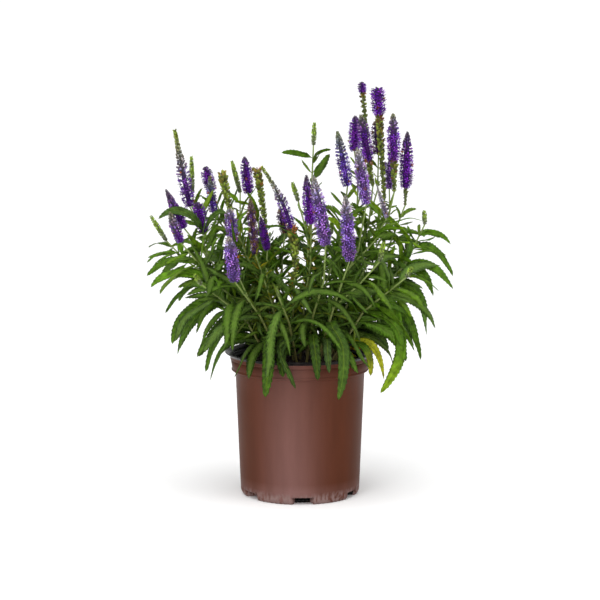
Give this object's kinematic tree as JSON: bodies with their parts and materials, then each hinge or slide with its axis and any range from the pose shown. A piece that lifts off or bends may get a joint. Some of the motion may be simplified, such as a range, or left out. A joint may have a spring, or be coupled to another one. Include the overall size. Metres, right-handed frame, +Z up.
{
  "type": "potted speedwell",
  "caption": "Flowering clump of spiked speedwell with purple flower spikes over arching lance-shaped leaves, in a plain round plastic nursery pot of potting mix.",
  "frame": {"origin": "on the pot's axis, at the surface that the pot stands on", "axes": "+Z up, +X to the right of the pictured front, which faces -Y"},
  "size_m": [0.361, 0.2532, 0.4855],
  "materials": {
    "pot_plastic": "thermoformed brown plastic with a soft satin sheen, black inside",
    "potting_mix": "damp crumbly bark and peat",
    "dry_twig": "weathered grey bark",
    "foliage": "living leaves, half matt, with a paler midrib",
    "florets": "living petals, matt"
  },
  "bodies": {
    "root": {"pot": "pot_plastic", "potting_mix": "potting_mix", "dry_twig": "dry_twig", "leafy_stem_01": "foliage", "leafy_stem_02": "foliage", "leafy_stem_03": "foliage", "leafy_stem_04": "foliage", "leafy_stem_05": "foliage", "leafy_stem_06": "foliage", "leafy_stem_07": "foliage", "leafy_stem_08": "foliage", "leafy_stem_09": "foliage", "leafy_stem_10": "foliage", "leafy_stem_11": "foliage", "leafy_stem_12": "foliage", "leafy_stem_13": "foliage", "leafy_stem_14": "foliage", "leafy_stem_15": "foliage", "leafy_stem_16": "foliage", "leafy_stem_17": "foliage", "leafy_stem_18": "foliage", "leafy_stem_19": "foliage", "leafy_stem_20": "foliage", "leafy_stem_21": "foliage", "leafy_stem_22": "foliage", "leafy_stem_23": "foliage", "leafy_stem_24": "foliage", "leafy_stem_25": "foliage", "leafy_stem_26": "foliage", "leafy_stem_27": "foliage", "leafy_stem_28": "foliage", "flower_spike_01": "florets", "flower_spike_02": "florets", "flower_spike_03": "florets", "flower_spike_04": "florets", "flower_spike_05": "florets", "flower_spike_06": "florets", "flower_spike_07": "florets", "flower_spike_08": "florets", "flower_spike_09": "florets", "flower_spike_10": "florets", "flower_spike_11": "florets", "flower_spike_12": "florets", "flower_spike_13": "florets", "flower_spike_14": "florets", "flower_spike_15": "florets", "flower_spike_16": "florets", "flower_spike_17": "florets", "flower_spike_18": "florets", "flower_spike_19": "florets", "flower_spike_20": "florets", "flower_spike_21": "florets", "flower_spike_22": "florets", "flower_spike_23": "florets", "flower_spike_24": "florets", "flower_spike_25": "florets", "flower_spike_26": "florets", "flower_spike_27": "florets"}
  },
  "joints": []
}
